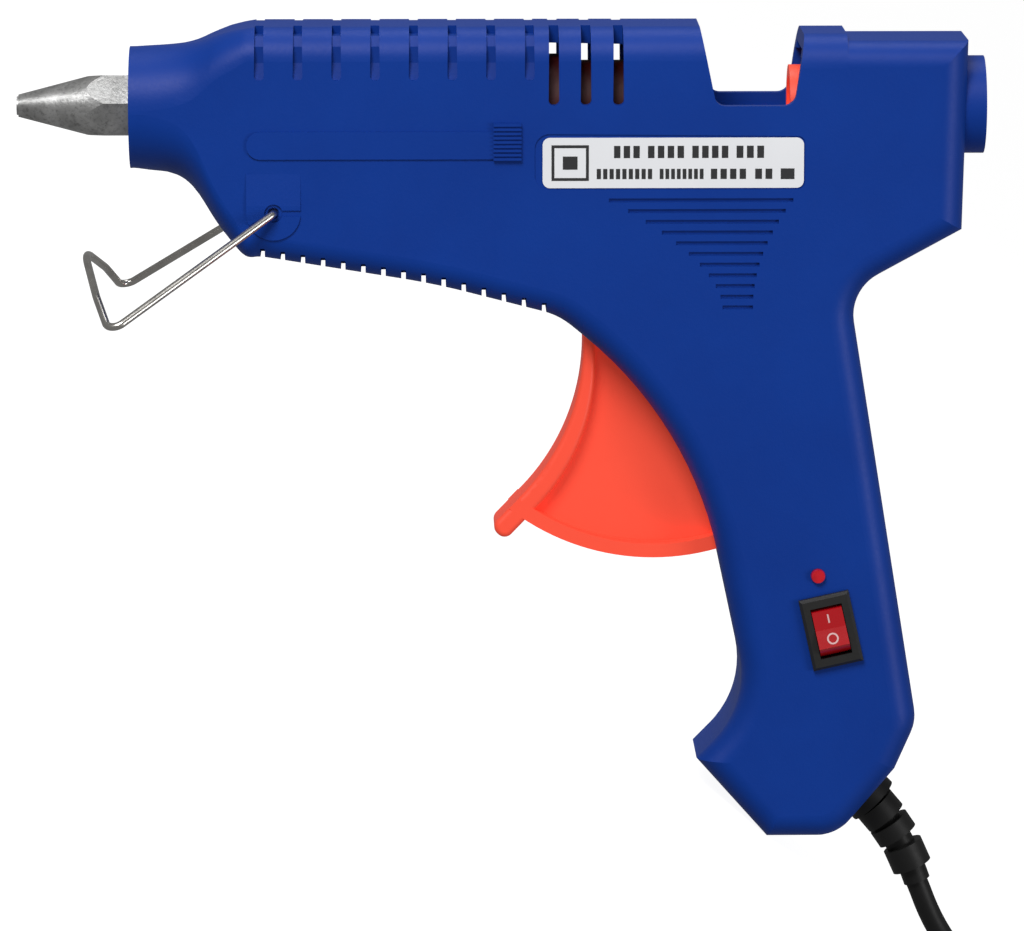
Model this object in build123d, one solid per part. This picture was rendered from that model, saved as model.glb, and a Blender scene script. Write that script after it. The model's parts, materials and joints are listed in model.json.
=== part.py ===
from build123d import *
import math
import os

# Hot-melt glue gun that stands on its wire stand and the front corner of its grip.
# Everything is first modelled in the gun's own axes: x runs from the nozzle tip to the
# rear along the barrel, y across the gun (the labelled side is -y), z up from the barrel
# axis. The last section tilts it nose down until stand and grip touch the table, z = 0.

os.makedirs("parts", exist_ok=True)

# ---- driving dimensions, millimetres ----
HALF = 14.0             # half the casing's width
WALL = 2.4              # casing wall
INNER = HALF - WALL     # half the width of the hollow inside
TOP = 16.9              # top of the barrel above its axis
EDGE_TOP = 6.5          # rounding of the barrel's upper edges
EDGE = 5.0              # rounding of all other outer edges
HOOP_TOP = 15.4         # top of the band over the stick channel
REAR_TOP = 14.1         # top of the rear housing
REAR_STEP = 0.45        # the rear housing is this much narrower on each side
NOSE_X = 24.1           # front face of the casing
BLEND_X = 50.0          # the round nose has become the full section here
REAR_X = 194.9          # rear face of the casing
COLLAR_END = 198.8      # rear end of the stick inlet
UNDER = -30.0           # underside of the barrel where the round nose ends
KNEE = (86.0, -35.6)    # the underside steepens here
THROAT = (111.6, -42.2) # and meets the trigger here
HEEL = (154.8, -151.1)  # front corner of the grip's foot, which stands on the table

STICK_R = 6.0           # stick channel, for 11 mm glue sticks
CHAMBER_R = 8.4         # heating chamber
CHAMBER_X = (27.0, 103.0)
SLEEVE_R = 9.2          # silicone sleeve behind the chamber
SLEEVE_X = (97.0, 129.0)

PIVOT = (131.2, -45.2)  # trigger pin
TRIGGER_PULL = 28.0     # degrees
RIM_R = 48.0            # radius of the trigger's lower rim about its pin
TRIGGER_HALF = 6.0      # half the width of the trigger's rims
ARM = 32.0              # length of the trigger's upper arm
PIN_GAP = 0.05          # running fit of the pins, radial

STAND = (53.5, -20.5)   # stand pivots
STAND_FOOT = (20.8, -42.2)
WIRE_R = 0.8
STAND_Y = HALF + 0.4 + WIRE_R + 0.3
FOOT_Y = 33.0

SWITCH = (167.5, -107.0)
SWITCH_TURN = 12.6      # the switch leans with the grip, degrees
LED = (164.8, -95.7)
LED_R = 1.5

CORD_D = 4.7
CORD_LENGTH = 1200.0


# ---- drawing helpers ----
def outline(corners):
    """A face from (a, b, radius) corners: straight lines with each corner rounded."""
    points = [Vector(a, b) for a, b, _ in corners]
    count = len(corners)
    starts = []
    ends = []
    arcs = []
    for i, (_, _, radius) in enumerate(corners):
        here = points[i]
        back = (points[i - 1] - here).normalized()
        onward = (points[(i + 1) % count] - here).normalized()
        if radius == 0:
            starts.append(here)
            ends.append(here)
            continue
        half = math.radians(back.get_angle(onward)) / 2
        reach = radius / math.tan(half)
        middle = here + (back + onward).normalized() * (radius / math.sin(half) - radius)
        starts.append(here + back * reach)
        ends.append(here + onward * reach)
        arcs.append(ThreePointArc(starts[-1], middle, ends[-1]))
    lines = []
    for i in range(count):
        a = ends[i]
        b = starts[(i + 1) % count]
        if (b - a).length > 1e-4:
            lines.append(Line(a, b))
    return make_face(Wire(lines + arcs))


def slab(corners, y0, y1):
    """A side-view outline in x and z, thick from y0 to y1."""
    return extrude(Plane.XZ.offset(-y1) * outline(corners), amount=y1 - y0)


def sharp(points):
    return [(a, b, 0) for a, b in points]


def block(x0, x1, y0, y1, z0, z1):
    centre = Pos((x0 + x1) / 2, (y0 + y1) / 2, (z0 + z1) / 2)
    return centre * Box(x1 - x0, y1 - y0, z1 - z0)


def rod_x(x0, x1, radius, y=0.0, z=0.0):
    return Pos((x0 + x1) / 2, y, z) * Rot(0, 90, 0) * Cylinder(radius, x1 - x0)


def rod_y(x, z, radius, y0, y1):
    return Pos(x, (y0 + y1) / 2, z) * Rot(90, 0, 0) * Cylinder(radius, y1 - y0)


def tube_x(x0, x1, outer, inner, z=0.0):
    return rod_x(x0, x1, outer, z=z) - rod_x(x0 - 1, x1 + 1, inner, z=z)


def section(x, top, bottom, half, r_top, r_bottom, inner_y=0):
    """The near half of the barrel's cross-section, rounded at its two outer corners."""
    plane = Plane(origin=(x, 0, 0), x_dir=(0, 1, 0), z_dir=(1, 0, 0))
    corners = [(-half, bottom, r_bottom), (inner_y, bottom, 0), (inner_y, top, 0), (-half, top, r_top)]
    return plane * outline(corners)


def wire(points, radii, radius):
    """A round wire along straight runs joined by arcs."""
    path = FilletPolyline(*points, radius=radii)
    return sweep(Plane(origin=path @ 0, z_dir=path % 0) * Circle(radius), path=path)


# ---- casing: everything here is the near half, y from -HALF to 0 ----
# Side outline behind the nose, clockwise from the lower front corner.
BODY = [
    (BLEND_X, UNDER, 0),
    (BLEND_X, TOP, 0),
    (150.0, TOP, 0),
    (150.0, HOOP_TOP, 0),
    (170.2, HOOP_TOP, 0),
    (170.2, REAR_TOP, 0),
    (REAR_X, REAR_TOP, 0),
    (193.9, -24.6, 0),
    (171.0, -37.1, 9.5),
    (185.6, -127.0, 9.0),
    (181.2, -137.0, 0),
    (169.3, -151.1, 9.0),
    (HEEL[0], HEEL[1], 0),
    (140.2, -134.7, 0),
    (151.15, -123.5, 20.0),
    (138.5, -64.3, 80.0),
    (THROAT[0], THROAT[1], 15.0),
    (KNEE[0], KNEE[1], 150.0),
    (51.2, UNDER, 8.0),
]
# Cross-sections from the round nose to the full barrel: x, top, bottom, half width, corner radii.
NOSE = [
    (NOSE_X, 12.1, -12.8, 12.5, 12.0, 12.3),
    (27.0, 12.2, -13.0, 12.55, 12.0, 12.3),
    (30.0, 12.35, -13.3, 12.65, 11.9, 12.2),
    (34.0, 12.6, -14.2, 12.85, 11.3, 11.5),
    (37.0, 13.1, -16.4, 13.1, 10.5, 10.5),
    (40.0, 14.1, -20.5, 13.4, 9.0, 8.5),
    (43.0, 15.3, -24.8, 13.7, 7.8, 7.0),
    (46.0, 16.2, -28.4, 13.9, 7.0, 5.8),
    (BLEND_X, TOP, UNDER, HALF, EDGE_TOP, EDGE),
]


def casing_outside():
    body = slab(BODY, -HALF, 0)
    rounded = []
    for edge in body.edges():
        at = edge @ 0.5
        on_side = at.Y < -HALF + 0.01
        on_top = at.Z > HOOP_TOP - 1.5 and edge.length > 1.0
        at_front = abs(at.X - BLEND_X) < 0.01
        if on_side and not on_top and not at_front:
            rounded.append(edge)
    body = fillet(rounded, EDGE)
    caps = [
        (BLEND_X, 150.0, TOP, HALF, EDGE_TOP),
        (150.0, 170.2, HOOP_TOP, HALF, EDGE_TOP),
        (170.2, REAR_X + 1, REAR_TOP, HALF - REAR_STEP, EDGE),
    ]
    envelope = None
    for x0, x1, top, half, radius in caps:
        band = extrude(section(x0, top, -160, HALF, radius, 0), amount=x1 - x0)
        if half < HALF:
            band += block(x0, x1, -HALF, 0, -160, -24)
        envelope = band if envelope is None else envelope + band
    body = body & envelope
    nose = loft([section(*row) for row in NOSE])
    return body + nose


def casing_hollow():
    """The space inside, stepped in towards the rounded edges, and open across y = 0."""
    inside = make_hollow(WALL, HALF - EDGE) + make_hollow(WALL + 1.6, INNER)
    rows = []
    for x, top, bottom, half, r_top, r_bottom in NOSE:
        x = max(x, NOSE_X + WALL)
        radii = (max(r_top - WALL, 1), max(r_bottom - WALL, 1))
        rows.append((x, top - WALL, bottom + WALL, half - WALL, *radii, 1))
    nose = loft([section(*row) for row in rows])
    return inside + nose


def make_hollow(inset, half):
    corners = [row for row in BODY if not (150.0 <= row[0] <= 170.2 and row[1] > 0)]
    face = outline([(x, min(z, REAR_TOP) if x > 140 else z, r) for x, z, r in corners])
    inner = offset(Plane.XZ.offset(-1) * face, amount=-inset)
    solid = extrude(inner, amount=half + 1)
    # carry the hollow forward to meet the nose
    front = section(BLEND_X - 0.01, TOP - inset, UNDER + inset, half, 0.5, 0.5, 1)
    return solid + extrude(front, amount=inset + 1.0)


# ---- what is moulded into the casing ----
GROOVES = 8             # closed grooves along the barrel's top edges
GROOVE_X = 50.7
GROOVE_PITCH = 7.84
VENT_X = (110.5, 117.0, 123.6)
SLOT_TOP_Y = 5.6        # grooves and vents run this far onto the top
TEETH = 15              # gaps in the toothed underside
TEETH_X = 51.2
TEETH_PITCH = 4.1
TOOTH_GAP = 0.9
GAP_DEEP = 2.3          # depth of the gaps at the rounded edges
GAP_SHALLOW = 1.4       # depth of the gaps under the hollow
GRIP_LINES = 11
GRIP_PITCH = 2.2
LABEL = (108.2, 161.3, -15.48, -5.2)
STRIP = (48.1, 98.4, -9.5, -3.9)
KNURL = (98.2, 103.9, -9.9, -2.1)
SCREWS = [(70.0, -24.0), (98.0, -31.0), (186.0, -21.5), (152.0, -32.0), (168.0, -60.0), (149.0, -136.0)]
SCREWS.append((177.0, -120.0))
RAIL_X = (135.0, 187.4)
POST = (189.0, -13.0)   # the return spring's rear post


def underside(x):
    if x < KNEE[0]:
        return UNDER + (x - BLEND_X) * (KNEE[1] - UNDER) / (KNEE[0] - BLEND_X)
    return KNEE[1] + (x - KNEE[0]) * (THROAT[1] - KNEE[1]) / (THROAT[0] - KNEE[0])


def groove_cutter(x):
    """A groove that starts on top of the barrel, runs down its side and ends round."""
    plane = Plane(origin=(x - 1.0, 0, 0), x_dir=(0, 1, 0), z_dir=(1, 0, 0))
    depth = [(-SLOT_TOP_Y, 20), (-SLOT_TOP_Y, 15.3), (-11.0, 15.3), (-12.3, 13.3)]
    depth += [(-12.5, 10.0), (-13.3, 6.6), (-15.0, 6.4), (-15.0, 20)]
    cutter = extrude(plane * outline(sharp(depth)), amount=2.0)
    face = [(x - 1.0, 6.5, 0.95), (x + 1.0, 6.5, 0.95), (x + 0.85, 20, 0), (x - 0.85, 20, 0)]
    return cutter & slab(face, -16, 0)


def vent_cutter(x):
    face = [(x - 1.1, 1.4, 1.0), (x + 1.1, 1.4, 1.0), (x + 0.95, 20, 0), (x - 0.95, 20, 0)]
    return slab(face, -16, -SLOT_TOP_Y)


def teeth_cutter():
    gaps = None
    for i in range(TEETH):
        x = TEETH_X + i * TEETH_PITCH
        x0 = x - TOOTH_GAP / 2
        x1 = x + TOOTH_GAP / 2
        gap = block(x0, x1, -16, 16, underside(x) - 4, underside(x) + GAP_SHALLOW)
        gap += block(x0, x1, -16, -9.8, underside(x) - 4, underside(x) + GAP_DEEP)
        gaps = gap if gaps is None else gaps + gap
    return gaps


def grip_lines():
    """Horizontal grooves between two arcs that close in on each other downwards."""
    lines = None
    for i in range(GRIP_LINES):
        z = -18.0 - i * GRIP_PITCH
        down = i / (GRIP_LINES - 1)
        left = 144.9 - 23.2 * (1 - down) ** 1.75
        right = 151.1 + 8.1 * (1 - down) ** 2
        line = block(left, right, -15, -HALF + 0.55, z - 0.4, z + 0.4)
        lines = line if lines is None else lines + line
    return lines


def stand_boss():
    x, z = STAND
    face = [(x - 5.5, z - 5.5, 5.4), (x + 5.5, z - 5.5, 5.4), (x + 5.5, z + 8, 0), (x - 5.5, z + 8, 0)]
    side = Plane(origin=(x - 6, 0, 0), x_dir=(0, 1, 0), z_dir=(1, 0, 0))
    thick = [(-11.0, z - 6), (-HALF - 0.4, z - 6), (-HALF - 0.4, z + 1.5), (-HALF, z + 8), (-11.0, z + 8)]
    pad = slab(face, -16, -10) & extrude(side * outline(sharp(thick)), amount=12)
    return pad


def stand_hole():
    x, z = STAND
    hole = rod_y(x, z, WIRE_R + PIN_GAP, -16, -8)
    hole += rod_y(x, z, 1.2, -16, -HALF + 0.8)
    hole += rod_y(x, z, 1.85, -16, -HALF + 0.1)
    face_y = -HALF - 0.4
    open_way = Pos(x, 0, z) * Rot(0, -32.6, 0) * block(-7, 0, face_y - 1, face_y + 0.35, -0.6, 0.6)
    shut_way = Pos(x, 0, z) * block(0, 7, face_y - 1, face_y + 0.35, -0.6, 0.6)
    return hole + open_way + shut_way


def cross_wall(x0, x1, low, hole):
    """A cross wall inside the casing with a round hole on the barrel axis."""
    return block(x0, x1, -HALF, 2, low, TOP) - rod_x(x0 - 1, x1 + 1, hole)


def rails():
    """Two pairs of ribs in which the carriage's fins slide."""
    x0, x1 = RAIL_X
    ribs = block(x0, x1, -HALF, -9.4, -3.1, -1.6) + block(x0, x1, -HALF, -9.4, -7.7, -6.2)
    return ribs


def notch():
    front = [(139.7, 30, 0), (140.2, TOP + 0.1, 0), (143.5, 1.2, 2.2)]
    corners = front + [(159.4, 1.2, 2.6), (161.4, 15, 0), (161.6, 30, 0)]
    return slab(corners, -20, 20)


def trigger_slot():
    corners = [(90, -45.6), (115.9, -45.6), (115.9, -42.5), (126, -42.5), (152, -80), (152, -100), (90, -100)]
    reach = rod_y(PIVOT[0], PIVOT[1], RIM_R + 0.5, -TRIGGER_HALF - 0.4, TRIGGER_HALF + 0.4)
    return slab(sharp(corners), -TRIGGER_HALF - 0.4, TRIGGER_HALF + 0.4) & reach


def at_switch(y=0.0):
    return Pos(SWITCH[0], y, SWITCH[1]) * Rot(0, -SWITCH_TURN, 0)


def screw_boss(x, z):
    return rod_y(x, z, 3.2, -HALF, 2) + rod_y(x, z, 4.2, -HALF, -5.0)


def far_half(shell):
    """The far half is the near one mirrored, with stepped holes for the screws."""
    shell = mirror(shell, about=Plane.XZ)
    for x, z in SCREWS:
        shell -= rod_y(x, z, 1.6, -1, HALF + 1) + rod_y(x, z, 3.0, 8.6, HALF + 1)
    return shell


def clamp_at():
    """Where the cord clamp sits: local x along the cord, local z across it."""
    return Pos(169.5, 0, -138.7) * Rot(0, 46, 0)


def casing():
    """What both halves share: the outer form less the space inside, then every opening."""
    outside = casing_outside() + stand_boss()
    space = casing_hollow()
    space -= cross_wall(92.0, 95.0, -13.0, 11.45)
    space -= cross_wall(131.5, 133.5, -8.6, 6.7)
    space -= rails()
    space -= rod_y(PIVOT[0], PIVOT[1], 4.5, -HALF, -TRIGGER_HALF - 0.3)
    space -= rod_y(STAND[0], STAND[1], 3.2, -HALF, -9.0)
    space -= rod_y(POST[0], POST[1], 0.7, -HALF, 2)
    for x, z in SCREWS:
        space -= screw_boss(x, z)
    shell = outside - space
    shell -= rod_x(NOSE_X - 1, NOSE_X + 3, 7.6)
    shell -= rod_x(REAR_X - 7, REAR_X + 1, 10.05)
    shell -= stand_hole()
    shell -= rod_y(PIVOT[0], PIVOT[1], 2.0, -INNER - 0.4, 1)
    for i in range(GROOVES):
        shell -= groove_cutter(GROOVE_X + i * GROOVE_PITCH)
    for x in VENT_X:
        shell -= vent_cutter(x)
    shell -= teeth_cutter()
    shell -= grip_lines()
    shell -= notch()
    shell -= trigger_slot()
    return shell - Pos(*CORD_FACE) * Rot(0, 45, 0) * rod_x(-6, 6, 4.1)


def left_details(shell):
    """The labelled half: strip, ribbed block, label recess, switch, lamp and cord clamp posts."""
    for x, z in SCREWS:
        shell -= rod_y(x, z, 1.3, -INNER + 1, 1)
    x0, x1, z0, z1 = STRIP
    strip = [(x0, z0, 2.7), (x1, z0, 0), (x1, z1, 0), (x0, z1, 2.7)]
    shell += slab(strip, -HALF - 0.4, -HALF + 0.5)
    x0, x1, z0, z1 = KNURL
    shell += block(x0, x1, -HALF - 0.5, -HALF + 0.5, z0, z1)
    ribs = 9
    for i in range(ribs):
        z = z0 + (i + 0.5) * (z1 - z0) / ribs
        shell += block(x0, x1, -HALF - 0.9, -HALF - 0.4, z - 0.25, z + 0.25)
    x0, x1, z0, z1 = LABEL
    recess = [(x0 - 1.6, z0 - 0.3, 3.0), (x1 + 0.3, z0 - 0.3, 1.6)]
    recess += [(x1 + 0.3, z1 + 0.3, 1.6), (x0 - 1.6, z1 + 0.8, 3.0)]
    shell -= slab(recess, -HALF - 1, -HALF + 0.3)
    shell -= at_switch() * block(-4.45, 4.45, -HALF - 2, -INNER + 1, -6.6, 6.6)
    shell -= rod_y(LED[0], LED[1], LED_R + 0.05, -HALF - 2, -INNER + 1)
    saddle = block(-2.5, 2.5, -INNER - 0.3, -2.4, -8, 8)
    for z in (-5.8, 5.8):
        saddle += rod_y(0, z, 2.0, -INNER, 2.4)
    for z in (-5.8, 5.8):
        saddle -= rod_y(0, z, 1.0, -6, 3)
    return shell + clamp_at() * saddle


# ---- barrel: nozzle, chamber, sleeve ----
def nozzle():
    body = Pos(10.1, 0, 0) * Rot(0, 90, 0) * Cone(2.3, 6.95, 17.7)
    body += rod_x(18.9, 25.5, 6.95)
    across = Plane(origin=(0, 0, 0), x_dir=(0, 1, 0), z_dir=(1, 0, 0))
    hexagon = across * RegularPolygon(6.0, 6, major_radius=False)
    turn = Rot(-9.5, 0, 0)
    body &= turn * extrude(hexagon, amount=25.5)
    body += rod_x(0.9, 1.5, 1.9)
    body += rod_x(25.4, 35.0, 4.0)
    body -= rod_x(-1, 5, 0.8)
    body -= Pos(4.9, 0, 0) * Rot(0, 90, 0) * Cone(0.8, 2.1, 2.2)
    body -= rod_x(6.0, 16.5, 2.1)
    return body - rod_x(16.4, 36, 1.4)


def heating_chamber():
    x0, x1 = CHAMBER_X
    body = rod_x(x0, x1, CHAMBER_R) + block(46, 86, -6.5, 6.5, -12.0, -5.0)
    body -= rod_x(x0 - 1, x0 + 9, 4.0)
    body -= Pos(43, 0, 0) * Rot(0, 90, 0) * Cone(1.6, STICK_R, 20.0)
    body -= rod_x(52.9, x1 + 1, STICK_R)
    for x in (48.5, 83.5):
        body -= Pos(x, 0, -10.2) * Cylinder(1.25, 4.4)
    return body


def heater_parts():
    heater = block(52, 80, -6, 6, -14.6, -12.05)
    clamp = block(46, 86, -7.5, 7.5, -16.2, -14.65)
    screws = None
    for x in (48.5, 83.5):
        clamp -= Pos(x, 0, -15.4) * Cylinder(1.5, 3)
        screw = Pos(x, 0, -17.0) * Cylinder(2.4, 1.5) + Pos(x, 0, -12.6) * Cylinder(1.2, 8.0)
        screws = screw if screws is None else screws + screw
    return heater, clamp, screws


def silicone_sleeve():
    x0, x1 = SLEEVE_X
    sleeve = rod_x(x0, x1, SLEEVE_R) + rod_x(x0, x0 + 15.5, 10.5)
    sleeve -= rod_x(x0 - 1, CHAMBER_X[1] + 0.05, CHAMBER_R)
    return sleeve - rod_x(x0 - 1, x1 + 1, 5.7)


def inlet_collar():
    """The stick goes in here: a collar held by a flange inside the rear wall."""
    flange = rod_x(REAR_X - 7.2, REAR_X - 4.8, 11.3) & block(REAR_X - 8, REAR_X, -12, 12, -10.2, 12)
    collar = flange + rod_x(REAR_X - 7.2, COLLAR_END, 10.0)
    collar -= rod_x(REAR_X - 8, COLLAR_END + 1, STICK_R)
    return collar - Pos(COLLAR_END - 1.0, 0, 0) * Rot(0, 90, 0) * Cone(STICK_R, STICK_R + 2.0, 2.02)


def coil_spring(x0, x1, radius, wire_r, pitch, z=0.0):
    path = Pos(x0, 0, z) * Rot(0, 90, 0) * Helix(pitch, x1 - x0, radius)
    return sweep(Plane(origin=path @ 0, z_dir=path % 0) * Circle(wire_r), path=path, is_frenet=True)


# ---- feed: trigger, carriage, jaw ----
REST_LEAN = TRIGGER_PULL / 2
DRIVE_X = PIVOT[0] + ARM * math.sin(math.radians(REST_LEAN))
DRIVE = (DRIVE_X, PIVOT[1] + ARM * math.cos(math.radians(REST_LEAN)))
DRIVE_R = 1.5
STROKE = 2 * ARM * math.sin(math.radians(REST_LEAN))
JAW = (165.5, -13.5)


def trigger():
    px, pz = PIVOT
    top = -46.2
    lip = [(116.7, top, 0), (116.7, -67.1, 45.0), (97.7, -86.8, 1.9)]
    lip += [(100.6, -89.8, 1.9), (120.0, -69.6, 44.0), (119.0, top, 0)]
    rear = math.radians(17)
    rear_end = (px + 60 * math.sin(rear), pz - 60 * math.cos(rear))
    web = [(116.7, top, 0), (116.7, -67.1, 45.0), (97.7, -86.8, 0), (97.7, -110, 0), (rear_end[0], -110, 0),
           (rear_end[0], rear_end[1], 0), (px + 5, pz, 0), (px, pz + 6, 0), (121.5, -42.2, 0)]
    disc = rod_y(px, pz, RIM_R, -TRIGGER_HALF, TRIGGER_HALF)
    sector = slab(web, -TRIGGER_HALF, TRIGGER_HALF) & disc
    rim = sector - rod_y(px, pz, RIM_R - 2.9, -20, 20)
    body = (sector & block(90, 200, -2.5, 2.5, -120, 0)) + rim
    front = slab(lip, -TRIGGER_HALF, TRIGGER_HALF)
    side_edges = [e for e in front.edges() if abs(abs((e @ 0.5).Y) - TRIGGER_HALF) < 0.01]
    front = fillet([e for e in side_edges if is_front(e @ 0.5)], 1.1)
    body += front
    body += rod_y(px, pz, 6.0, -TRIGGER_HALF, TRIGGER_HALF)
    lean = math.radians(REST_LEAN)
    along = Vector(math.sin(lean), math.cos(lean))
    across = Vector(math.cos(lean), -math.sin(lean))
    root = Vector(px, pz)
    tip = Vector(*DRIVE) + along * 3.2
    corners = [root - across * 5, root + across * 5, tip + across * 3.2, tip - across * 3.2]
    arm = [(corner.X, corner.Y, radius) for corner, radius in zip(corners, (0, 0, 3.0, 3.0))]
    body += slab(arm, -3.0, 3.0)
    body -= rod_y(px, pz, 2.0 + PIN_GAP, -8, 8)
    return body - rod_y(DRIVE[0], DRIVE[1], DRIVE_R, -8, 8)


def is_front(point):
    """True on the front line of the trigger's lip, where a finger rests."""
    if point.Z > -60:
        return point.X < 117.5
    return (point.X - 97.7) - (point.Z + 86.8) / 1.036 < 1.5 and point.Z > -86


def carriage():
    front = DRIVE[0] - 4.5
    body = tube_x(158.8, 176.0, 8.2, STICK_R)
    body += block(150, 176, -6.2, 6.2, -17.5, -7.0) - rod_x(149, 177, STICK_R + 0.5)
    body -= block(149, 158.8, -7, 7, -10.4, 0)
    for side in (-1, 1):
        y0, y1 = sorted((side * 3.4, side * 6.2))
        body += block(front, 152, y0, y1, -17.5, -10.4)
        y0, y1 = sorted((side * 6.0, side * 11.3))
        body += block(160, 176, y0, y1, -5.9, -3.4) - rod_x(159, 177, STICK_R + 0.5)
        y0, y1 = sorted((side * 2.9, side * 4.6))
        body += block(175.5, 178.4, y0, y1, -15.0, -11.0)
    body += rod_y(177.5, POST[1], 0.7, -4.6, 4.6)
    middle = (DRIVE[1] + PIVOT[1] + ARM) / 2
    slot = block(DRIVE[0] - DRIVE_R - 0.3, DRIVE[0] + DRIVE_R + 0.3, -7, 7, middle - 2.4, middle + 2.4)
    body -= slot
    body -= block(158.0, 171.0, -2.8, 2.8, -18, -5)
    return body - rod_y(JAW[0], JAW[1], 1.5, -7, 7)


def grip_jaw():
    corners = [(163.2, -16.4, 0.8), (168.0, -16.4, 0.8), (168.4, -10.5, 0.8)]
    corners += [(162.4, -6.6, 0), (160.4, -6.6, 0), (160.4, -9.0, 0)]
    jaw = slab(corners, -2.4, 2.4)
    for i in range(3):
        x = 160.7 + i * 0.7
        jaw -= slab(sharp([(x, -6.4), (x + 0.25, -7.1), (x + 0.5, -6.4)]), -3, 3)
    return jaw - rod_y(JAW[0], JAW[1], 1.5 + PIN_GAP, -3, 3)


# ---- stand ----
def stand_wire():
    x, z = STAND
    fx, fz = STAND_FOOT
    lean = math.radians(117.8)   # the arch leans forward and up from the feet

    def arch(y, rise):
        return (fx + rise * math.cos(lean), y, fz + rise * math.sin(lean))

    half = [(x, -9.5, z), (x, -STAND_Y, z), (fx, -FOOT_Y, fz), arch(-22.0, 6.5)]
    other = [(px, -py, pz) for px, py, pz in reversed(half)]
    return wire(half + [arch(0, 13.8)] + other, [1.2, 2.2, 12, 22, 12, 2.2, 1.2], WIRE_R)


# ---- switch and lamp ----
ROCKER_TILT = 13.0
ROCKER_Y = -13.0


def switch_housing():
    bezel = block(-5.25, 5.25, -HALF - 1.6, -HALF, -7.5, 7.5)
    bezel = chamfer(bezel.faces().sort_by(Axis.Y)[0].edges(), 0.6)
    body = bezel + block(-4.4, 4.4, -HALF, -3.0, -6.5, 6.5)
    body -= block(-3.3, 3.3, -HALF - 2, -6.0, -5.3, 5.3)
    pivots = Pos(0, ROCKER_Y, 0) * Rot(0, 90, 0) * Cylinder(0.8, 7.0)
    return at_switch() * (body + (pivots - block(-2.7, 2.7, -20, 0, -6, 6)))


def rocker():
    barrel = Rot(0, 90, 0) * Cylinder(5.1, 6.3)
    side = Plane(origin=(-3.2, 0, 0), x_dir=(0, 1, 0), z_dir=(1, 0, 0))
    profile = [(1.2, -6), (1.2, 6), (-3.35, 6), (-3.35, 3.85), (-2.9, 0), (-3.35, -3.85), (-3.35, -6)]
    paddle = barrel & extrude(side * outline(sharp(profile)), amount=6.4)
    paddle -= Rot(0, 90, 0) * Cylinder(0.85, 8.0)
    return at_switch(ROCKER_Y) * Rot(-ROCKER_TILT, 0, 0) * paddle


def switch_terminals():
    blades = None
    for z in (-3.5, 3.5):
        blade = at_switch() * block(-2.4, 2.4, -3.0, 3.4, z - 0.4, z + 0.4)
        blades = blade if blades is None else blades + blade
    return blades


def led_lens():
    x, z = LED
    lens = rod_y(x, z, LED_R, -HALF - 0.3, -9.0) + rod_y(x, z, 1.9, -INNER + 0.05, -10.4)
    dome = Pos(x, -HALF - 0.3, z) * Sphere(LED_R)
    return lens + (dome & block(x - 2, x + 2, -HALF - 1.0, -HALF, z - 2, z + 2))


def cable(points, radius, bend=3.0):
    """An insulated lead along a bent route."""
    return wire(points, bend, radius)


def heater_leads():
    leads = None
    for side in (-1, 1):
        points = [(80.2, side * 4.5, -13.3), (88.5, side * 4.5, -13.3), (97, side * 8.0, -20.0)]
        points += [(122, side * 9.6, -29.0), (143, side * 9.6, -38.0)]
        points += [(156, side * 9.4, -72.0), (159.2, side * 8.4, -91.0)]
        lead = cable(points, 0.7, 2.5)
        leads = lead if leads is None else leads + lead
    return leads


def switch_leads():
    leads = None
    for side in (-1, 1):
        points = [(166.2, side * 1.2, -135.5), (160.0, side * 1.6, -129.0), (162.0, side * 3.2, -119.0)]
        lead = cable(points, 0.7, 3.0)
        leads = lead if leads is None else leads + lead
    return leads


def cord_clamp_parts():
    bar = block(-2.5, 2.5, 2.4, 4.2, -8, 8)
    screws = None
    for z in (-5.8, 5.8):
        bar -= rod_y(0, z, 1.2, 2, 5)
        screw = rod_y(0, z, 0.95, -5, 4.2) + rod_y(0, z, 2.0, 4.2, 5.6)
        screws = screw if screws is None else screws + screw
    return clamp_at() * bar, clamp_at() * screws


def housing_screws():
    screws = None
    for x, z in SCREWS:
        screw = rod_y(x, z, 1.25, -7.5, 8.7) + rod_y(x, z, 2.8, 8.65, 10.6)
        screw -= Pos(x, 10.4, z) * Box(3.6, 1.4, 0.7)
        screw -= Pos(x, 10.4, z) * Box(0.7, 1.4, 3.6)
        screws = screw if screws is None else screws + screw
    return screws


# ---- placing the gun on the table ----
def standing_tilt(wire_stand):
    """Tilt that puts the stand's feet and the grip's corner on one level, degrees."""
    dx = HEEL[0] - STAND_FOOT[0]
    dz = HEEL[1] - STAND_FOOT[1]
    tilt = math.degrees(math.atan2(-dz, dx))
    for _ in range(4):
        turned = Rot(0, -tilt, 0) * wire_stand
        angle = math.radians(tilt)
        heel_z = HEEL[0] * math.sin(angle) + HEEL[1] * math.cos(angle)
        gap = turned.bounding_box().min.Z - heel_z
        tilt += math.degrees(gap / math.hypot(dx, dz))
    return tilt


TILT = standing_tilt(stand_wire())
C = math.cos(math.radians(TILT))
S = math.sin(math.radians(TILT))
FLOOR = HEEL[0] * S + HEEL[1] * C
CORD_FACE = (175.25, 0, -143.6)     # where the cord leaves the grip
CORD_START = (167.0, -136.0)
CORD_BEND = (183.0, -152.5)


def level(x, y, z):
    """A point given in the gun's axes, as it stands on the table, before centring."""
    return (x * C - z * S, y, x * S + z * C - FLOOR)


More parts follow.
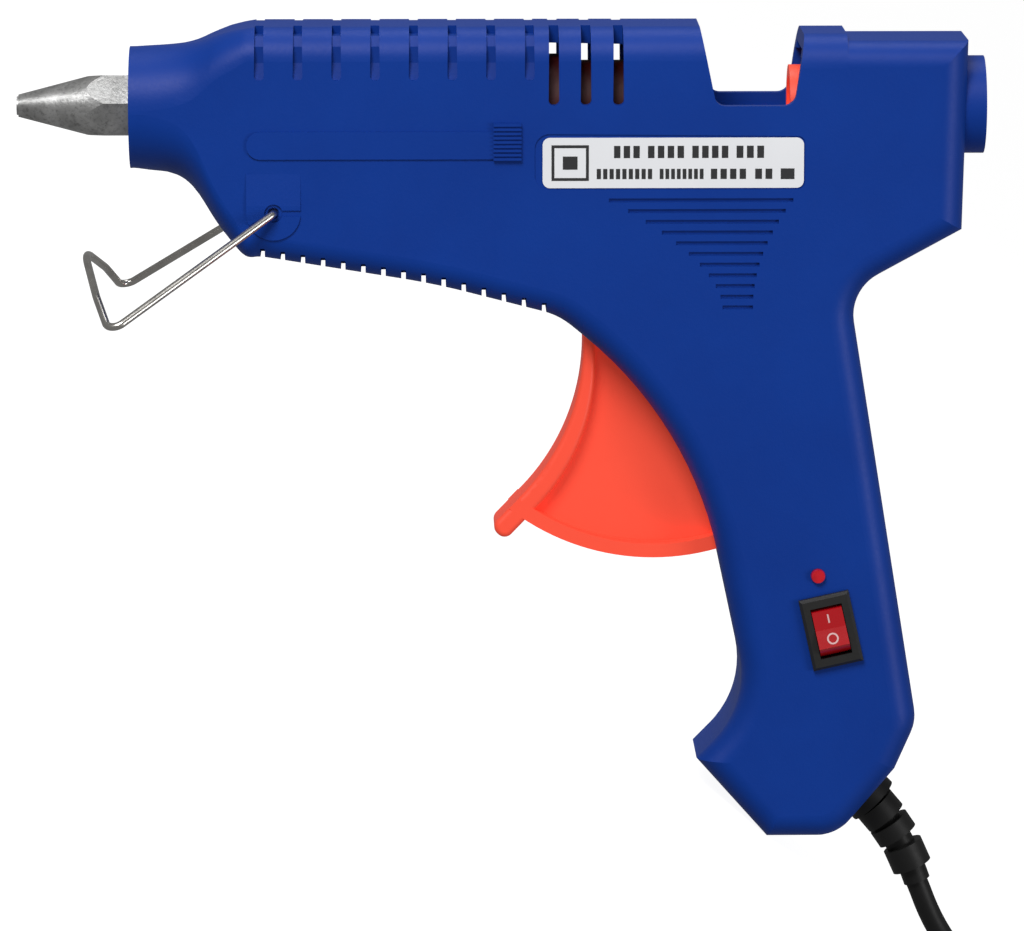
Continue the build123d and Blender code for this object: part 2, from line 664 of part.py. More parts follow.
heel_x = level(HEEL[0], 0, HEEL[1])[0]
LIE = CORD_D / 2 + 0.02             # height of the cord's axis above the table
start = level(CORD_START[0], 0, CORD_START[1])
bend = level(CORD_BEND[0], 0, CORD_BEND[1])
COIL = (heel_x + 112.0, 0.0)
COIL_IN = math.radians(120)         # the lead joins the coil here
COIL_OUT = math.radians(60)         # and leaves it here for the plug
COIL_WIDE = 3                       # turns side by side
COIL_HIGH = 2
COIL_TURNS = COIL_WIDE * COIL_HIGH + math.degrees(COIL_IN - COIL_OUT) / 360


def coil_radius(length):
    return length / (2 * math.pi * COIL_TURNS)


def cord_route(outer):
    join = (COIL[0] + outer * math.cos(COIL_IN), COIL[1] + outer * math.sin(COIL_IN), LIE)
    heading = COIL_IN - math.pi / 2
    before = (join[0] - 28 * math.cos(heading), join[1] - 28 * math.sin(heading), LIE)
    touch = (heel_x + 46.5, 1.0, LIE)
    return [start, bend, touch, before, join]


def cord_radii(route):
    """Each arc is as large as its two runs allow."""
    points = [Vector(*p) for p in route]
    radii = []
    for a, b, c in zip(points, points[1:], points[2:]):
        turn = (b - a).get_angle(c - b)
        shorter = min((b - a).length, (c - b).length)
        radii.append(0.45 * shorter / math.tan(math.radians(turn / 2)))
    return radii


def coil_frame(angle, radius, height):
    """A place on the coil: local x is the way the cord runs there."""
    x = COIL[0] + radius * math.cos(angle)
    y = COIL[1] + radius * math.sin(angle)
    return Pos(x, y, height) * Rot(0, 0, math.degrees(angle) - 90)


TAIL = 20.0             # straight cord between the coil and the plug
LEAD = 105.0            # cord between the grip and the coil


def cord_parts():
    radius = CORD_D / 2
    outer = coil_radius(CORD_LENGTH - TAIL - LEAD) + CORD_D
    route = cord_route(outer)
    radii = cord_radii(route)
    path = FilletPolyline(*route, radius=radii)
    lead = sweep(Plane(origin=path @ 0, z_dir=path % 0) * Circle(radius), path=path)
    swept = math.pi * radius ** 2 * path.length
    print("cord radii", [round(r, 1) for r in radii], "least wanted", 5 * CORD_D)
    print("cord lead %.1f long, volume %.1f, section x length %.1f" % (path.length, lead.volume, swept))
    middle = outer - CORD_D
    turns = 2 * math.pi * middle * COIL_TURNS
    print("coil middle diameter %.1f, whole cord %.0f" % (2 * middle, path.length + turns + TAIL))
    half = COIL_WIDE * CORD_D / 2
    high = COIL_HIGH * CORD_D
    centre = Pos(COIL[0], COIL[1], high / 2 + 0.02)
    coil = centre * (Cylinder(middle + half, high) - Cylinder(middle - half, high + 1))
    coil = fillet(coil.edges().filter_by(GeomType.CIRCLE), 1.5)
    tie_at = coil_frame(math.radians(200), middle, 0)
    band = block(-1.6, 1.6, -half - 0.9, half + 0.9, 0.02, high + 0.9)
    tie = tie_at * (band - block(-2, 2, -half, half, 0.9, high))
    tail_at = coil_frame(COIL_OUT, outer, LIE + CORD_D)
    tail = tail_at * rod_x(0, TAIL, radius)
    coil = coil - lead - tail - tie
    return lead, coil, tie, tail, tail_at * Pos(TAIL, 0, 0)


def plug_parts(place):
    """A flat two-pin plug, lying on the table."""
    sleeve = Pos(7, 0, 0) * Rot(0, 90, 0) * Cone(3.1, 4.2, 14)
    half = [(12, -5.5, 2), (24, -12.0, 8), (45, -17.0, 2), (45, 17.0, 2), (24, 12.0, 8), (12, 5.5, 2)]
    body = extrude(Pos(0, 0, -LIE - CORD_D + 0.02) * outline(half), amount=13.7)
    body = fillet(body.edges().filter_by(Axis.Z, reverse=True).filter_by(lambda e: abs((e @ 0.5).Z) > 6), 2.5)
    pins = None
    for y in (-9.3, 9.3):
        pin = rod_x(45, 63, 2.0, y=y) + Pos(63, y, 0) * Sphere(2.0)
        pins = pin if pins is None else pins + pin
    return place * (sleeve + body), place * pins


def strain_relief(lead):
    """Stepped boot: a flange, then blocks joined by a slimmer core that bends with the cord."""
    face = Pos(CORD_FACE[0], 0, CORD_FACE[2])
    boot = face * Rot(0, 45, 0) * (rod_x(-4.5, 0.3, 4.0) + rod_x(-4.6, -2.6, 5.4) + rod_x(0.9, 3.2, 5.5))
    blocks = [(178.9, -148.0, 50, 4.0, 4.5), (181.7, -151.9, 56, 3.5, 4.4), (184.7, -157.5, 66, 5.0, 4.2)]
    for x, z, down, length, radius in blocks:
        boot += Pos(x, 0, z) * Rot(0, down, 0) * rod_x(-length / 2, length / 2, radius)
    end = (CORD_BEND[0] + 3.8, 0, CORD_BEND[1] - 10.4)
    core = [(CORD_FACE[0] - 2.0, 0, CORD_FACE[2] + 2.1), (CORD_BEND[0], 0, CORD_BEND[1]), end]
    boot += wire(core, 44.0, 2.8)
    return boot


# ---- the finished pieces ----
moulding = casing()
gun = {
    "left_shell": left_details(moulding),
    "right_shell": far_half(moulding),
    "housing_screws": housing_screws(),
    "nozzle": nozzle(),
    "nozzle_seal": tube_x(25.5, CHAMBER_X[0], 6.0, 4.05),
    "check_ball": Pos(7.2, 0, 0) * Sphere(1.6),
    "check_spring": coil_spring(9.2, 16.0, 1.6, 0.2, 1.1),
    "heating_chamber": heating_chamber(),
    "front_support": tube_x(28.0, 32.5, 9.6, CHAMBER_R + 0.02),
    "rear_support": tube_x(92.2, 94.8, 11.4, CHAMBER_R + 0.02),
    "chamber_wrap": tube_x(40, 90, 9.2, CHAMBER_R + 0.05) - block(39, 91, -20, 20, -20, -4.4),
    "silicone_sleeve": silicone_sleeve(),
    "sleeve_clip": tube_x(99.5, 101.5, 11.1, 10.52),
    "thermal_fuse": rod_x(58, 72, 1.4, y=8.4, z=-11.4),
    "inlet_collar": inlet_collar(),
    "trigger_pin": rod_y(PIVOT[0], PIVOT[1], 2.0, -INNER - 0.3, INNER + 0.3),
    "trigger": trigger(),
    "drive_pin": rod_y(DRIVE[0], DRIVE[1], DRIVE_R, -6.2, 6.2),
    "carriage": carriage(),
    "grip_jaw": grip_jaw(),
    "jaw_pin": rod_y(JAW[0], JAW[1], 1.5, -6.2, 6.2),
    "return_spring": coil_spring(178.6, 187.8, 2.3, 0.35, 1.15, z=POST[1]),
    "stand_wire": stand_wire(),
    "switch_housing": switch_housing(),
    "switch_terminals": switch_terminals(),
    "rocker": rocker(),
    "led_lens": led_lens(),
    "led_board": block(LED[0] - 4, LED[0] + 4, -8.9, -7.9, LED[1] - 3.5, LED[1] + 5),
    "heater_leads": heater_leads(),
    "switch_leads": switch_leads(),
}
gun["ptc_heater"], gun["heater_clamp"], gun["clamp_screws"] = heater_parts()
gun["cord_clamp"], gun["cord_clamp_screws"] = cord_clamp_parts()
x0, x1, z0, z1 = LABEL
film = [(x0, z0, 1.5), (x1, z0, 1.5), (x1, z1, 1.5), (x0, z1, 1.5)]
gun["rating_label"] = slab(film, -HALF + 0.1, -HALF + 0.3)

stand_up = Pos(0, 0, -FLOOR) * Rot(0, -TILT, 0)
placed = {name: stand_up * shape for name, shape in gun.items()}
lead, coil, tie, tail, plug_place = cord_parts()
placed["strain_relief"] = stand_up * strain_relief(lead) - lead
body_box = Compound(children=[Compound(s.solids()) for s in placed.values()]).bounding_box()
print("tilt %.3f, gun box %s %s" % (TILT, body_box.min, body_box.max))
placed["cord_lead"] = lead
placed["cord_coil"] = coil
placed["cord_tie"] = tie
placed["cord_tail"] = tail
placed["plug_body"], placed["plug_pins"] = plug_parts(plug_place)

centre = Pos(-(body_box.min.X + body_box.max.X) / 2, 0, 0)
for name, shape in placed.items():
    export_step(centre * shape, "parts/%s.step" % name)
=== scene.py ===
# A hot-melt glue gun on its wire stand: camera, cord, materials, print, lights and floor
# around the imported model. Lengths are in metres unless a name or comment says millimetres.
import json
import math

import bmesh
import bpy
from mathutils import Matrix, Vector


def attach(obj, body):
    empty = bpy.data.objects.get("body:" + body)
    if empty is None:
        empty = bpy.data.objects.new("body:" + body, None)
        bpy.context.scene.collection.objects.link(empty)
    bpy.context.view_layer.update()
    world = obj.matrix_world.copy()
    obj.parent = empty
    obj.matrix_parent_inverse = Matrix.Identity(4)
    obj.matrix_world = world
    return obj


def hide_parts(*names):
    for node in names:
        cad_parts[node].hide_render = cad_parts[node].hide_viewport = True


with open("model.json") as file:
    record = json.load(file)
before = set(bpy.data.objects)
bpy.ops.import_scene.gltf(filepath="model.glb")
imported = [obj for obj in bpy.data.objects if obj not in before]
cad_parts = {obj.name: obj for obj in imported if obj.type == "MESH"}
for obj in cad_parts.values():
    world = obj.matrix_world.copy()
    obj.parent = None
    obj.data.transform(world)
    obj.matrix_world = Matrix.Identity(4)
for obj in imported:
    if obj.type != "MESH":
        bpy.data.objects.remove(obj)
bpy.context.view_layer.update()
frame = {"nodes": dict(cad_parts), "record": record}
NODES = frame["nodes"]
MM = 0.001

# ---- the gun's own axes: x back along the barrel from the nozzle tip, z up from it ----
INLET_X = 192.2             # the stick inlet's mount is this far behind the nozzle tip, mm
INLET = next(m for m in frame["record"]["mounts"] if m["name"] == "stick_inlet")
BACK = Vector(INLET["axis"]).normalized()
ACROSS = Vector((0.0, 1.0, 0.0))
UP = BACK.cross(ACROSS)
if UP.z < 0:
    UP = -UP
TIP = Vector(INLET["pos_m"]) - BACK * INLET_X * MM


def gun(x, y, z):
    """A point in the gun's axes, millimetres, as a point in the row frame."""
    return TIP + BACK * x * MM + ACROSS * y * MM + UP * z * MM


# ---- camera ----
CAMERA_LIFT = math.radians(9.5)     # above the barrel's plane
CAMERA_SWING = math.radians(0.9)    # towards the nozzle
CAMERA_DISTANCE = 1.4
CAMERA_TARGET = gun(102.2, 0, -74.9)
LENS = 238.2
SENSOR = 36.0


def make_camera():
    data = bpy.data.cameras.new("camera")
    camera = bpy.data.objects.new("camera", data)
    bpy.context.scene.collection.objects.link(camera)
    level_way = -BACK * math.sin(CAMERA_SWING) - ACROSS * math.cos(CAMERA_SWING)
    back = (level_way * math.cos(CAMERA_LIFT) + UP * math.sin(CAMERA_LIFT)).normalized()
    right = UP.cross(back).normalized()
    top = back.cross(right)
    turn = Matrix((right, top, back)).transposed()
    camera.matrix_world = Matrix.Translation(CAMERA_TARGET + back * CAMERA_DISTANCE) @ turn.to_4x4()
    data.lens = LENS
    data.sensor_width = SENSOR
    data.sensor_fit = "HORIZONTAL"
    data.clip_start = 0.05
    data.clip_end = 300.0
    bpy.context.scene.camera = camera
    return right, top, back


SCREEN_RIGHT, SCREEN_UP, SCREEN_BACK = make_camera()


# ---- node materials ----
def shader(name):
    material = bpy.data.materials.new(name)
    material.use_nodes = True
    nodes = material.node_tree.nodes
    return material, nodes, material.node_tree.links, nodes["Principled BSDF"]


def noise(nodes, links, scale, detail=2.0, roughness=0.5):
    """Noise in object space, so it sticks to the piece."""
    coordinates = nodes.new("ShaderNodeTexCoord")
    texture = nodes.new("ShaderNodeTexNoise")
    texture.inputs["Scale"].default_value = scale
    texture.inputs["Detail"].default_value = detail
    texture.inputs["Roughness"].default_value = roughness
    links.new(coordinates.outputs["Object"], texture.inputs["Vector"])
    return texture.outputs["Fac"]


def ramp(nodes, links, value, stops):
    """A colour ramp through (position, colour) stops."""
    node = nodes.new("ShaderNodeValToRGB")
    elements = node.color_ramp.elements
    while len(elements) < len(stops):
        elements.new(0.5)
    for element, (position, colour) in zip(elements, stops):
        element.position = position
        element.color = (*colour, 1.0)
    links.new(value, node.inputs["Fac"])
    return node.outputs["Color"]


def span(nodes, links, value, low, high):
    """The value, 0 to 1, stretched to low to high."""
    node = nodes.new("ShaderNodeMapRange")
    node.inputs["To Min"].default_value = low
    node.inputs["To Max"].default_value = high
    links.new(value, node.inputs["Value"])
    return node.outputs["Result"]


def bump(nodes, links, height, distance, strength, below=None):
    node = nodes.new("ShaderNodeBump")
    node.inputs["Distance"].default_value = distance
    node.inputs["Strength"].default_value = strength
    links.new(height, node.inputs["Height"])
    if below is not None:
        links.new(below, node.inputs["Normal"])
    return node.outputs["Normal"]


def moulded(name, dark, light, rough, grain=1600.0, depth=0.00006, specular=0.5, extras=None):
    """Moulded plastic: a fine spark-eroded grain, with slow clouds of colour and gloss."""
    material, nodes, links, out = shader(name)
    clouds = noise(nodes, links, 28.0, 4.0, 0.6)
    grains = noise(nodes, links, grain, 3.0, 0.65)
    links.new(ramp(nodes, links, clouds, [(0.3, dark), (0.72, light)]), out.inputs["Base Color"])
    links.new(span(nodes, links, grains, rough[0], rough[1]), out.inputs["Roughness"])
    broad = bump(nodes, links, noise(nodes, links, 55.0, 2.0), 0.0004, 0.06)
    links.new(bump(nodes, links, grains, depth, 0.5, broad), out.inputs["Normal"])
    out.inputs["Specular IOR Level"].default_value = specular
    if extras:
        for socket, value in extras.items():
            out.inputs[socket].default_value = value
    return material


def metal(name, dark, light, rough, scale, depth, strength=0.5):
    """Metal with a surface of its own: brushed, cast or plated."""
    material, nodes, links, out = shader(name)
    marks = noise(nodes, links, scale, 4.0, 0.6)
    links.new(ramp(nodes, links, marks, [(0.3, dark), (0.7, light)]), out.inputs["Base Color"])
    links.new(span(nodes, links, marks, rough[0], rough[1]), out.inputs["Roughness"])
    links.new(bump(nodes, links, marks, depth, strength), out.inputs["Normal"])
    out.inputs["Metallic"].default_value = 1.0
    return material


def cast_metal():
    """Grey die-cast nozzle: pitted, with dark specks in the pits."""
    material, nodes, links, out = shader("cast_metal")
    pits = noise(nodes, links, 1300.0, 5.0, 0.7)
    clouds = noise(nodes, links, 220.0, 3.0, 0.6)
    mix = nodes.new("ShaderNodeMix")
    mix.data_type = "RGBA"
    mix.blend_type = "MULTIPLY"
    mix.inputs["Factor"].default_value = 0.8
    greys = ramp(nodes, links, clouds, [(0.3, (0.36, 0.36, 0.355)), (0.7, (0.58, 0.58, 0.575))])
    links.new(greys, mix.inputs["A"])
    shade = ramp(nodes, links, pits, [(0.30, (0.35, 0.35, 0.35)), (0.5, (1.0, 1.0, 1.0))])
    links.new(shade, mix.inputs["B"])
    links.new(mix.outputs["Result"], out.inputs["Base Color"])
    links.new(span(nodes, links, pits, 0.50, 0.26), out.inputs["Roughness"])
    links.new(bump(nodes, links, pits, 0.00012, 0.6), out.inputs["Normal"])
    out.inputs["Metallic"].default_value = 0.85
    return material


def woven():
    """Glass-fibre wrap: a plain weave of cream threads."""
    material, nodes, links, out = shader("fibre_cream")
    coordinates = nodes.new("ShaderNodeTexCoord")
    threads = []
    for direction in ("X", "Y"):
        wave = nodes.new("ShaderNodeTexWave")
        wave.bands_direction = direction
        wave.inputs["Scale"].default_value = 900.0
        links.new(coordinates.outputs["Object"], wave.inputs["Vector"])
        threads.append(wave.outputs["Fac"])
    both = nodes.new("ShaderNodeMath")
    both.operation = "MULTIPLY"
    links.new(threads[0], both.inputs[0])
    links.new(threads[1], both.inputs[1])
    cream = ramp(nodes, links, both.outputs[0], [(0.0, (0.45, 0.40, 0.28)), (1.0, (0.82, 0.78, 0.64))])
    links.new(cream, out.inputs["Base Color"])
    links.new(bump(nodes, links, both.outputs[0], 0.0001, 0.6), out.inputs["Normal"])
    out.inputs["Roughness"].default_value = 0.85
    return material


def lens():
    """Clear red lamp lens with faint streaks."""
    material, nodes, links, out = shader("lamp_red")
    streaks = noise(nodes, links, 500.0, 2.0)
    reds = ramp(nodes, links, streaks, [(0.3, (0.42, 0.0, 0.008)), (0.7, (0.62, 0.004, 0.016))])
    links.new(reds, out.inputs["Base Color"])
    links.new(span(nodes, links, streaks, 0.05, 0.14), out.inputs["Roughness"])
    out.inputs["Coat Weight"].default_value = 0.6
    out.inputs["Coat Roughness"].default_value = 0.05
    out.inputs["Emission Color"].default_value = (1.0, 0.02, 0.03, 1.0)
    out.inputs["Emission Strength"].default_value = 0.05
    return material


BLUE_DARK = (0.0005, 0.0350, 0.270)
BLUE_LIGHT = (0.0010, 0.0430, 0.315)

BLUE_TINT = {"Specular Tint": (0.8, 0.75, 1.0, 1.0)}
ORANGE_DARK = (0.92, 0.075, 0.036)
ORANGE_LIGHT = (0.97, 0.088, 0.044)
# The trigger's plastic also emits a little orange light: a painted glow that brightens it, though it
# is no lamp.
ORANGE_PAINTED_GLOW = {"Emission Color": (1.0, 0.075, 0.035, 1.0), "Emission Strength": 0.22}
RED_DARK = (0.42, 0.002, 0.006)
RED_LIGHT = (0.52, 0.004, 0.010)
GLOSSY_COAT = {"Coat Weight": 0.4, "Coat Roughness": 0.1}

MOULDED = {
    "casing_blue": (BLUE_DARK, BLUE_LIGHT, (0.40, 0.56), 1600.0, 0.00006, 0.28, BLUE_TINT),
    "trigger_orange": (ORANGE_DARK, ORANGE_LIGHT, (0.40, 0.50), 1100.0, 0.00003, 0.5, ORANGE_PAINTED_GLOW),
    "black_plastic": ((0.010, 0.010, 0.010), (0.020, 0.020, 0.019), (0.36, 0.5)),
    "rocker_red": (RED_DARK, RED_LIGHT, (0.16, 0.24), 900.0, 0.00002, 0.5, GLOSSY_COAT),
    "label_grey": ((0.86, 0.87, 0.90), (0.92, 0.93, 0.96), (0.40, 0.48), 1400.0, 0.00001),
    "silicone_red": ((0.060, 0.0015, 0.0010), (0.085, 0.0025, 0.0015), (0.5, 0.65), 1000.0),
    "seal_white": ((0.6, 0.6, 0.57), (0.75, 0.75, 0.72), (0.5, 0.65)),
    "white_nylon": ((0.66, 0.66, 0.62), (0.76, 0.76, 0.72), (0.40, 0.52)),
    "ceramic_white": ((0.66, 0.63, 0.56), (0.80, 0.78, 0.72), (0.60, 0.80), 1500.0),
    "board_green": ((0.012, 0.10, 0.035), (0.02, 0.14, 0.05), (0.25, 0.4)),
    "lead_blue": ((0.02, 0.05, 0.30), (0.03, 0.08, 0.40), (0.4, 0.55)),
    "print_black": ((0.020, 0.020, 0.022), (0.032, 0.032, 0.034), (0.5, 0.6), 1200.0, 0.00001),
    "mark_white": ((0.70, 0.42, 0.42), (0.76, 0.48, 0.48), (0.4, 0.5), 1200.0, 0.00001),
    "cord_black": ((0.004, 0.004, 0.0042), (0.008, 0.008, 0.008), (0.42, 0.58), 700.0, 0.00005, 0.3),
}
METALS = {
    "chamber_metal": ((0.42, 0.42, 0.41), (0.62, 0.62, 0.60), (0.35, 0.55), 700.0, 0.00008),
    "bright_steel": ((0.50, 0.49, 0.46), (0.66, 0.65, 0.61), (0.20, 0.34), 900.0, 0.00001),
    "wire_chrome": ((0.50, 0.48, 0.45), (0.66, 0.64, 0.60), (0.22, 0.30), 200.0, 0.000002, 0.1),
    "brass_blade": ((0.55, 0.38, 0.14), (0.72, 0.52, 0.22), (0.25, 0.4), 800.0, 0.00001),
}
MATERIALS = {"lamp_red": lens(), "cast_metal": cast_metal(), "fibre_cream": woven()}
MATERIALS.update({name: moulded(name, *values) for name, values in MOULDED.items()})
MATERIALS.update({name: metal(name, *values) for name, values in METALS.items()})
SLOTS = {entry["node"]: entry["material_slot"] for entry in frame["record"]["subparts"]}


def dress(obj, slot):
    obj.data.materials.clear()
    obj.data.materials.append(MATERIALS[slot])


for node, obj in NODES.items():
    dress(obj, SLOTS[node])


# ---- the cord ----
CORD_D = 4.7 * MM
CORD_LENGTH = 1.2
COIL_TURNS = 6 + 1 / 6
COIL_FIRST = 3 + 1 / 6                  # turns that wind inwards, on the table
COIL_IN = math.radians(120)
TAIL = 20 * MM
LEAD = 105 * MM
TURN_POINTS = 16
LIE = CORD_D / 2 + 0.02 * MM


def coil_points(centre, middle):
    """The coil's turns: inwards along the table, then outwards on top of those."""
    outer = middle + COIL_FIRST * CORD_D / 2
    inner = outer - COIL_FIRST * CORD_D
    spread = 1 / math.cos(math.pi / TURN_POINTS)    # a spline runs inside its control points
    points = []
    count = round(COIL_TURNS * TURN_POINTS)
    for i in range(count + 1):
        turns = COIL_TURNS * i / count
        climb = min(max((turns - COIL_FIRST + 0.14) / 0.2, 0.0), 1.0)
        if turns < COIL_FIRST:
            radius = outer - turns * CORD_D
        else:
            radius = inner + (turns - COIL_FIRST) * CORD_D
        angle = COIL_IN - turns * 2 * math.pi
        height = LIE + CORD_D * climb * climb * (3 - 2 * climb)
        flat = Vector((math.cos(angle), math.sin(angle), 0)) * radius * spread
        points.append(centre + flat + Vector((0, 0, height)))
    return points


def make_cord():
    heel = gun(154.8, 0, -151.1)
    centre = Vector((heel.x + 112 * MM, 0, 0))
    middle = (CORD_LENGTH - TAIL - LEAD) / (2 * math.pi * COIL_TURNS)
    outer = middle + COIL_FIRST * CORD_D / 2
    join = centre + Vector((math.cos(COIL_IN), math.sin(COIL_IN), 0)) * outer
    join.z = LIE
    way = Vector((math.sin(COIL_IN), -math.cos(COIL_IN), 0))
    route = [
        gun(167.0, 0, -136.0),
        gun(183.0, 0, -152.5),
        Vector((heel.x + 46.5 * MM, 1.0 * MM, LIE)),
        join - way * 28 * MM,
    ]
    route += coil_points(centre, middle)
    out_angle = COIL_IN - COIL_TURNS * 2 * math.pi
    out_way = Vector((math.sin(out_angle), -math.cos(out_angle), 0))
    top = LIE + CORD_D
    last = outer - COIL_FIRST * CORD_D + (COIL_TURNS - COIL_FIRST) * CORD_D
    leave = centre + Vector((math.cos(out_angle), math.sin(out_angle), 0)) * last
    leave.z = top
    route += [leave + out_way * TAIL / 2, leave + out_way * TAIL]
    curve = bpy.data.curves.new("mains_cord", "CURVE")
    curve.dimensions = "3D"
    curve.bevel_depth = CORD_D / 2
    curve.bevel_resolution = 5
    curve.resolution_u = 12
    curve.use_fill_caps = True
    spline = curve.splines.new("NURBS")
    spline.points.add(len(route) - 1)
    for point, place in zip(spline.points, route):
        point.co = (*place, 1.0)
    spline.order_u = 3
    spline.use_endpoint_u = True
    cord = bpy.data.objects.new("mains_cord", curve)
    bpy.context.scene.collection.objects.link(cord)
    dress(cord, "cord_black")
    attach(cord, "casing")
    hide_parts("cord_lead", "cord_coil", "cord_tail")


make_cord()


# ---- pieces made here ----
def piece(name, bm, look, body):
    """A new piece from a closed mesh, which moves with the named body."""
    bmesh.ops.recalc_face_normals(bm, faces=bm.faces)
    mesh = bpy.data.meshes.new(name)
    bm.to_mesh(mesh)
    bm.free()
    obj = bpy.data.objects.new(name, mesh)
    bpy.context.scene.collection.objects.link(obj)
    dress(obj, look)
    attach(obj, body)


# The label's print, in the gun's axes, millimetres.
PRINT_Y = -13.905           # the label film's face
PRINT_THICK = 0.02
BLOCK_FILL = 0.66           # share of its pitch that each block takes
UPPER_ROW = (-8.1, 2.5)     # middle and height
LOWER_ROW = (-12.6, 2.1)
UPPER_RUNS = [(122.7, 128.6, 3), (129.6, 137.6, 4), (138.6, 146.6, 4), (147.6, 153.9, 3)]
LOWER_RUNS = [(119.2, 130.9, 9), (132.0, 141.3, 8), (142.4, 150.2, 4), (151.4, 155.6, 2)]
SQUARE = (110.0, 117.6, -14.0, -6.7)
SQUARE_LINE = 0.6
DOTS = [(112.3, 115.3, -11.7, -9.0), (156.6, 159.4, -13.7, -11.5)]


def run_of_blocks(x0, x1, count, middle, height):
    """Evenly spaced upright blocks between x0 and x1."""
    pitch = (x1 - x0) / count
    low = middle - height / 2
    return [(x0 + i * pitch, x0 + (i + BLOCK_FILL) * pitch, low, low + height) for i in range(count)]


def square_frame():
    x0, x1, z0, z1 = SQUARE
    line = SQUARE_LINE
    level_bars = [(x0, x1, z1 - line, z1), (x0, x1, z0, z0 + line)]
    return level_bars + [(x, x + line, z0 + line, z1 - line) for x in (x0, x1 - line)]


def make_print():
    """Plain blocks that stand for the label's print: no words and no marks."""
    boxes = square_frame() + DOTS
    for runs, row in ((UPPER_RUNS, UPPER_ROW), (LOWER_RUNS, LOWER_ROW)):
        for x0, x1, count in runs:
            boxes += run_of_blocks(x0, x1, count, *row)
    bm = bmesh.new()
    for x0, x1, z0, z1 in boxes:
        corners = ((x0, z0), (x1, z0), (x1, z1), (x0, z1))
        front = [bm.verts.new(gun(x, PRINT_Y - PRINT_THICK, z)) for x, z in corners]
        rear = [bm.verts.new(gun(x, PRINT_Y, z)) for x, z in corners]
        bm.faces.new(front)
        bm.faces.new(rear[::-1])
        for i in range(4):
            j = (i + 1) % 4
            bm.faces.new((front[j], front[i], rear[i], rear[j]))
    piece("label_print", bm, "print_black", "casing")


# The rocker, in the gun's axes, and the marks on its face, millimetres.
SWITCH_X = 167.5
SWITCH_Z = -107.0
SWITCH_LEAN = math.radians(12.6)
ROCKER_Y = -13.0            # the rocker's axle
ROCKER_TILT = math.radians(13.0)
FACE_OUT = 2.9              # how far the face's middle is from the axle
FACE_RISE = 0.45 / 3.85     # slope of the face's two halves, away from the middle
MARK_DEPTH = 0.05           # the marks reach this far in and out of the face
I_MIDDLE = 2.1              # where the marks are along the rocker, from its axle
O_MIDDLE = -2.1
I_HALF_WIDTH = 0.17
I_HALF_LENGTH = 0.9
O_INNER = 0.85
O_OUTER = 1.2
O_POINTS = 32


def on_rocker(across, along, out):
    """A point on the rocker as it rests: across it, along it, and out from its axle."""
    y = -out * math.cos(ROCKER_TILT) + along * math.sin(ROCKER_TILT)
    z = along * math.cos(ROCKER_TILT) + out * math.sin(ROCKER_TILT)
    x = across * math.cos(SWITCH_LEAN) - z * math.sin(SWITCH_LEAN)
    up = across * math.sin(SWITCH_LEAN) + z * math.cos(SWITCH_LEAN)
    return gun(SWITCH_X + x, ROCKER_Y + y, SWITCH_Z + up)


def mark_strip(bm, pairs, closed):
    """A thin raised strip on the rocker's face, through pairs of (across, along) points."""
    rings = []
    for pair in pairs:
        corners = []
        for across, along in pair:
            out = FACE_OUT + FACE_RISE * abs(along)
            corners.append(bm.verts.new(on_rocker(across, along, out - MARK_DEPTH)))
            corners.append(bm.verts.new(on_rocker(across, along, out + MARK_DEPTH)))
        rings.append(corners)
    following = rings[1:] + (rings[:1] if closed else [])
    for a, b in zip(rings, following):
        bm.faces.new((a[1], b[1], b[3], a[3]))
        bm.faces.new((a[0], a[2], b[2], b[0]))
        bm.faces.new((a[0], b[0], b[1], a[1]))
        bm.faces.new((a[2], a[3], b[3], b[2]))
    if not closed:
        first = rings[0]
        last = rings[-1]
        bm.faces.new((first[0], first[1], first[3], first[2]))
        bm.faces.new((last[0], last[2], last[3], last[1]))


def rocker_marks():
    """The raised I and O that show which way the switch is on."""
    bm = bmesh.new()
    ends = (I_MIDDLE - I_HALF_LENGTH, I_MIDDLE + I_HALF_LENGTH)
    mark_strip(bm, [((-I_HALF_WIDTH, along), (I_HALF_WIDTH, along)) for along in ends], False)
    ring = []
    for i in range(O_POINTS):
        angle = 2 * math.pi * i / O_POINTS
        x = math.cos(angle)
        z = math.sin(angle)
        ring.append([(radius * x, O_MIDDLE + radius * z) for radius in (O_INNER, O_OUTER)])
    mark_strip(bm, ring, True)
    piece("rocker_marks", bm, "mark_white", "rocker")


make_print()
rocker_marks()


# ---- floor and light ----
FLOOR_GLOW = 0.93
FLOOR_RADIUS = 60.0
WORLD_LIGHT = 0.22


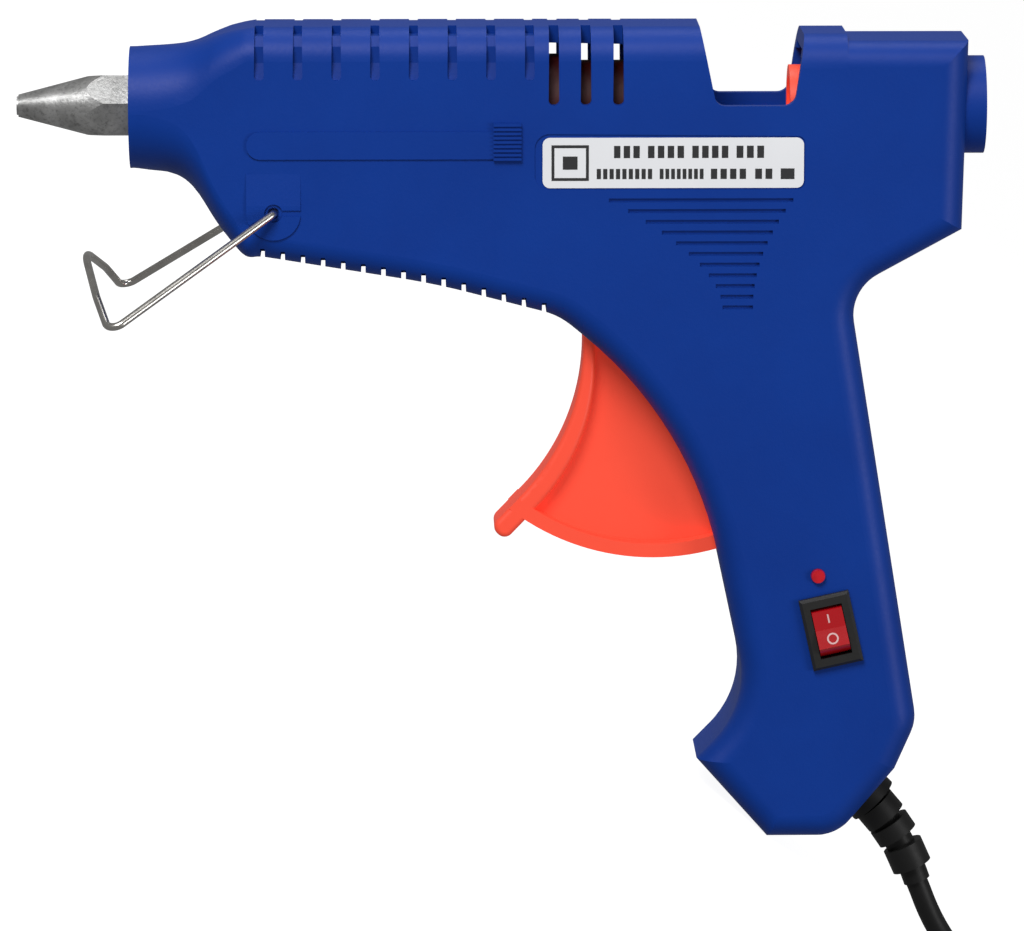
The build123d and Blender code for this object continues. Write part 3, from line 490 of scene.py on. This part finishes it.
def make_floor():
    """A pale floor that glows, so that it stays white round the gun's faint shadow."""
    mesh = bpy.data.meshes.new("floor")
    bm = bmesh.new()
    bmesh.ops.create_circle(bm, cap_ends=True, segments=96, radius=FLOOR_RADIUS)
    bm.to_mesh(mesh)
    bm.free()
    floor = bpy.data.objects.new("floor", mesh)
    bpy.context.scene.collection.objects.link(floor)
    material, nodes, links, out = shader("pale_floor")
    clouds = noise(nodes, links, 3.0)
    greys = ramp(nodes, links, clouds, [(0.0, (0.27, 0.27, 0.27)), (1.0, (0.29, 0.29, 0.29))])
    links.new(greys, out.inputs["Base Color"])
    out.inputs["Roughness"].default_value = 0.9
    out.inputs["Specular IOR Level"].default_value = 0.0
    out.inputs["Emission Color"].default_value = (1.0, 1.0, 1.0, 1.0)
    out.inputs["Emission Strength"].default_value = FLOOR_GLOW
    floor.data.materials.append(material)
    floor.visible_diffuse = False
    floor.visible_glossy = False


def softbox(name, place, size, power):
    """A square area light aimed at the middle of the gun."""
    data = bpy.data.lights.new(name, "AREA")
    data.shape = "SQUARE"
    data.size = size
    data.energy = power
    light = bpy.data.objects.new(name, data)
    bpy.context.scene.collection.objects.link(light)
    way = (CAMERA_TARGET - place).normalized()
    light.matrix_world = Matrix.Translation(place) @ way.to_track_quat("-Z", "Y").to_matrix().to_4x4()


def from_camera(right, up, back):
    """A place given in metres right of, above and towards the camera from the middle of the gun."""
    return CAMERA_TARGET + SCREEN_RIGHT * right + SCREEN_UP * up + SCREEN_BACK * back


def make_light():
    """Three softboxes and a dim surround, with a white backdrop that only the camera sees."""
    world = bpy.data.worlds.new("studio")
    world.use_nodes = True
    nodes = world.node_tree.nodes
    links = world.node_tree.links
    surround = nodes["Background"]
    surround.inputs["Color"].default_value = (1.0, 1.0, 1.0, 1.0)
    surround.inputs["Strength"].default_value = WORLD_LIGHT
    backdrop = nodes.new("ShaderNodeBackground")
    backdrop.inputs["Color"].default_value = (1.0, 1.0, 1.0, 1.0)
    backdrop.inputs["Strength"].default_value = 1.0
    rays = nodes.new("ShaderNodeLightPath")
    mix = nodes.new("ShaderNodeMixShader")
    links.new(rays.outputs["Is Camera Ray"], mix.inputs["Fac"])
    links.new(surround.outputs["Background"], mix.inputs[1])
    links.new(backdrop.outputs["Background"], mix.inputs[2])
    links.new(mix.outputs["Shader"], nodes["World Output"].inputs["Surface"])
    bpy.context.scene.world = world
    softbox("key", from_camera(-0.35, 1.0, 1.3), 0.7, 20.0)
    softbox("top", from_camera(0.1, 1.3, -0.1), 0.6, 4.0)
    softbox("side", from_camera(1.3, -0.2, 0.9), 0.6, 7.0)
    view = bpy.context.scene.view_settings
    view.view_transform = "Standard"
    view.look = "None"


make_floor()
make_light()
